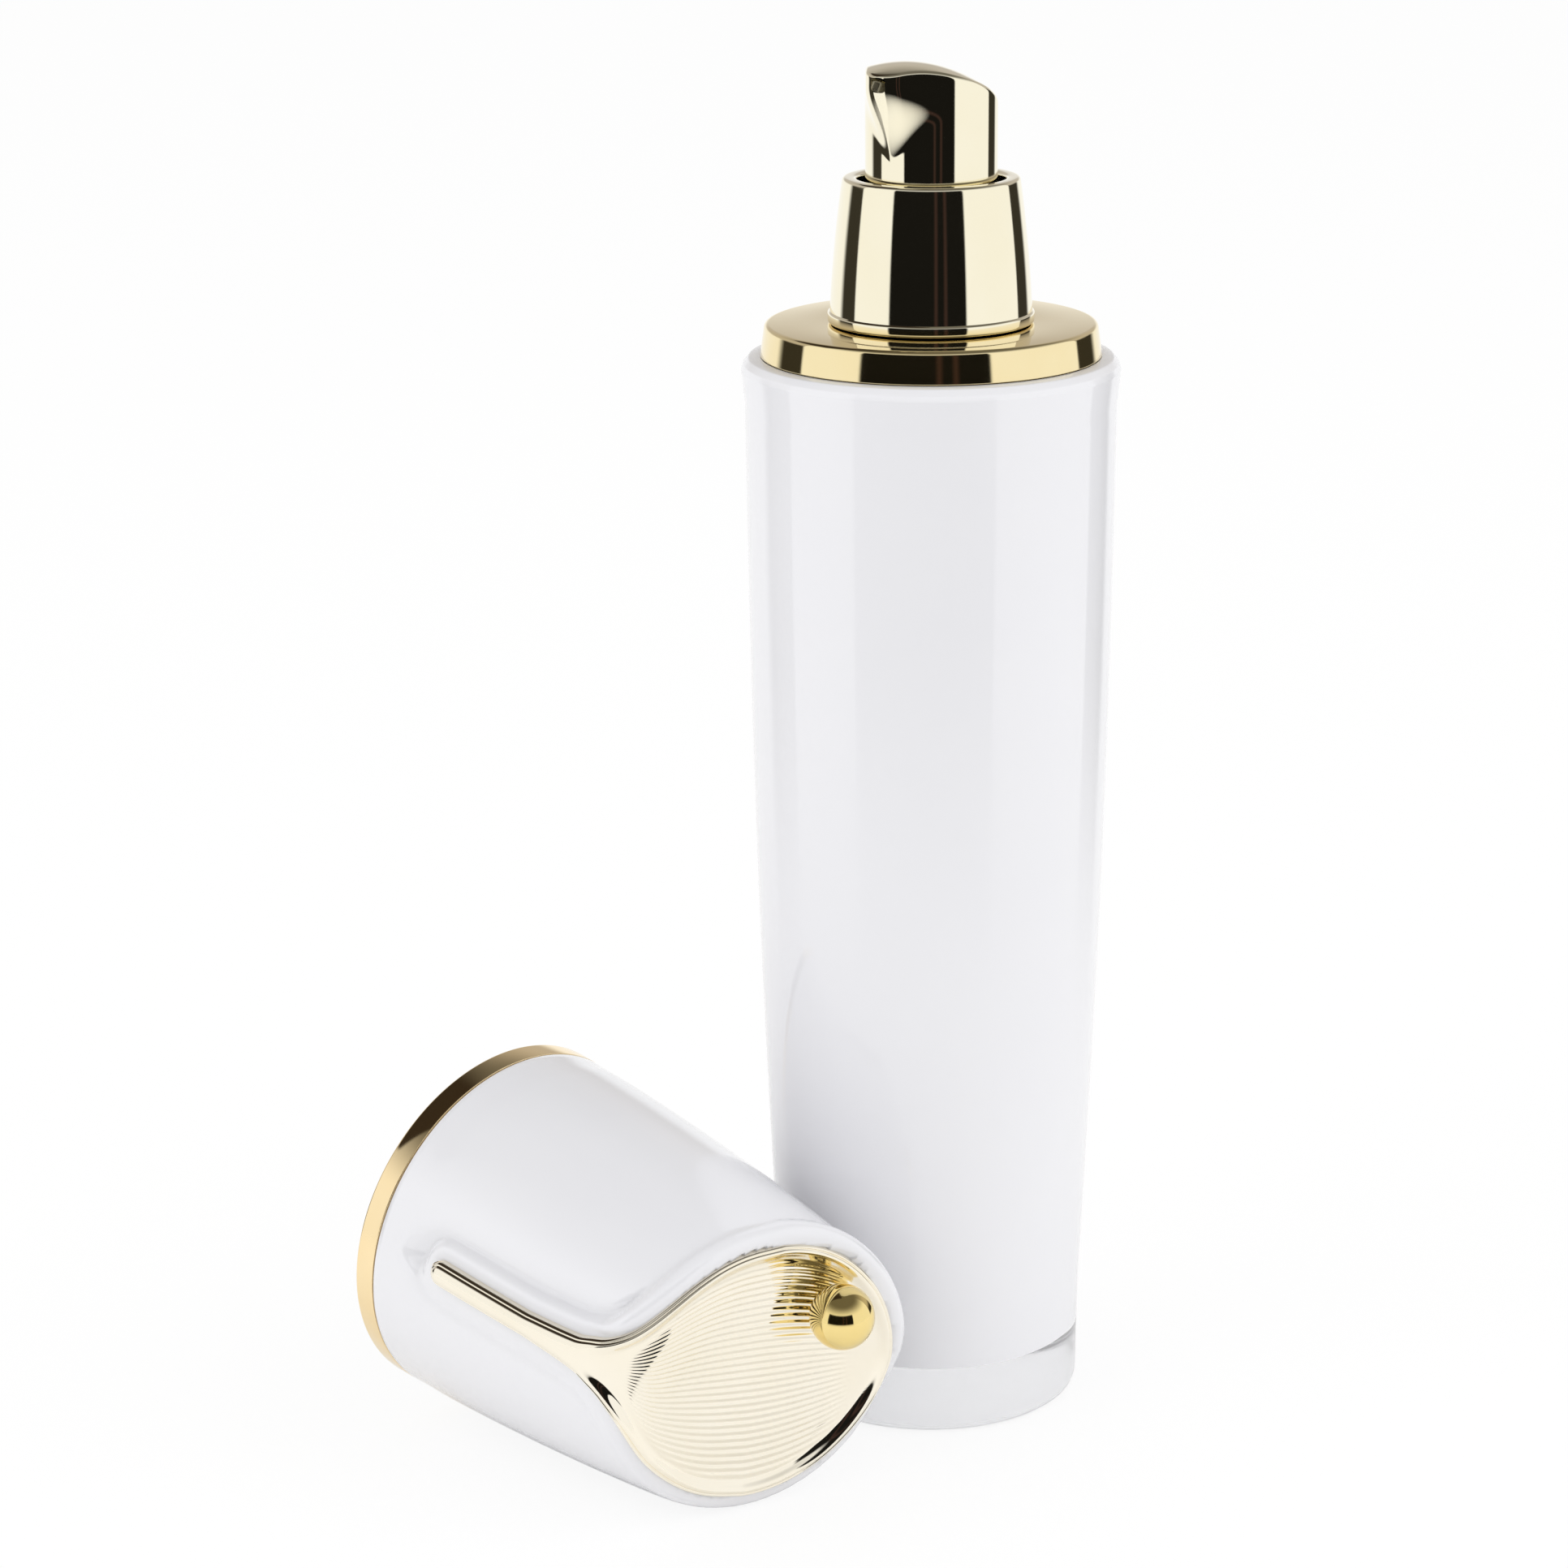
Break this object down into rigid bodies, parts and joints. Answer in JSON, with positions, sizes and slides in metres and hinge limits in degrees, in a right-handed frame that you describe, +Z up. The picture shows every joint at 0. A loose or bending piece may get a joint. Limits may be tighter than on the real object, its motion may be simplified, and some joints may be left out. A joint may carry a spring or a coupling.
{
  "type": "pump bottle",
  "caption": "Tall tapered cosmetic pump bottle with a clear outer wall, gold collar and spouted pump head, and its slant-topped cap lying beside it.",
  "frame": {"origin": "centre of the bottle's base, on the surface that it stands on", "axes": "+Z up along the bottle's axis; the picture is taken from the -Y side, and the cap lies on the -X side"},
  "size_m": [0.0953, 0.073, 0.1708],
  "materials": {
    "clear_acrylic": "clear polished acrylic",
    "white_bottle": "glossy white moulding",
    "white_closure": "white moulding",
    "white_insert": "white moulding",
    "white_cap": "glossy white moulding",
    "white_liner": "white moulding",
    "natural_plastic": "natural translucent moulding",
    "gasket_rubber": "soft grey foam",
    "gold_ring": "bright champagne gold, anodised",
    "gold_sleeve": "bright champagne gold, anodised",
    "gold_head": "bright champagne gold, anodised",
    "gold_rim": "bright gold, anodised",
    "gold_ornament": "bright gold, polished border and finely ribbed dish",
    "spring_steel": "drawn wire",
    "ball_steel": "polished ball"
  },
  "bodies": {
    "bottle": {"outer_bottle": "clear_acrylic", "inner_bottle": "white_bottle", "shoulder_ring": "gold_ring"},
    "pump": {"pump_housing": "natural_plastic", "neck_gasket": "gasket_rubber", "lock_collar": "natural_plastic", "dip_tube": "natural_plastic", "return_spring": "spring_steel"},
    "closure": {"screw_closure": "white_closure", "closure_sleeve": "gold_sleeve"},
    "piston": {"piston": "natural_plastic"},
    "head": {"stem": "natural_plastic", "piston_seat": "natural_plastic", "actuator_insert": "white_insert", "actuator_shell": "gold_head"},
    "inlet_ball": {"inlet_ball": "ball_steel"},
    "outlet_ball": {"outlet_ball": "ball_steel"},
    "cap": {"cap_outer": "white_cap", "cap_liner": "white_liner", "cap_rim_ring": "gold_rim", "ornament_plate": "gold_ornament", "ornament_bead": "gold_ornament"}
  },
  "joints": [
    {"name": "closure_lift", "type": "slide", "parent": "bottle", "child": "pump", "axis": [0, 0, 1], "range_m": [0, 0.0048]},
    {"name": "closure_turn", "type": "hinge", "parent": "pump", "child": "closure", "pos_m": [0, 0, 0.145], "axis": [0, 0, 1], "range_deg": [0, 540]},
    {"name": "pump_stroke", "type": "slide", "parent": "pump", "child": "piston", "axis": [0, 0, -1], "range_m": [0, 0.0044], "stiffness_N_per_m": 600, "springref_m": -0.01, "deforming": ["return_spring"]},
    {"name": "head_swivel", "type": "hinge", "parent": "piston", "child": "head", "pos_m": [0, 0, 0.16], "axis": [0, 0, 1], "continuous": true},
    {"name": "inlet_ball_lift", "type": "slide", "parent": "pump", "child": "inlet_ball", "axis": [0, 0, 1], "range_m": [0, 0.001]},
    {"name": "outlet_ball_lift", "type": "slide", "parent": "head", "child": "outlet_ball", "axis": [0, 0, 1], "range_m": [0, 0.0008]},
    {"name": "cap_lift", "type": "slide", "parent": "bottle", "child": "cap", "axis": [-0.3497, -0.3497, 0.8692], "range_m": [0, 0.2]}
  ],
  "couplings": [
    {"joint": "closure_lift", "follows": "closure_turn", "m_per_rad": 0.00050532}
  ]
}
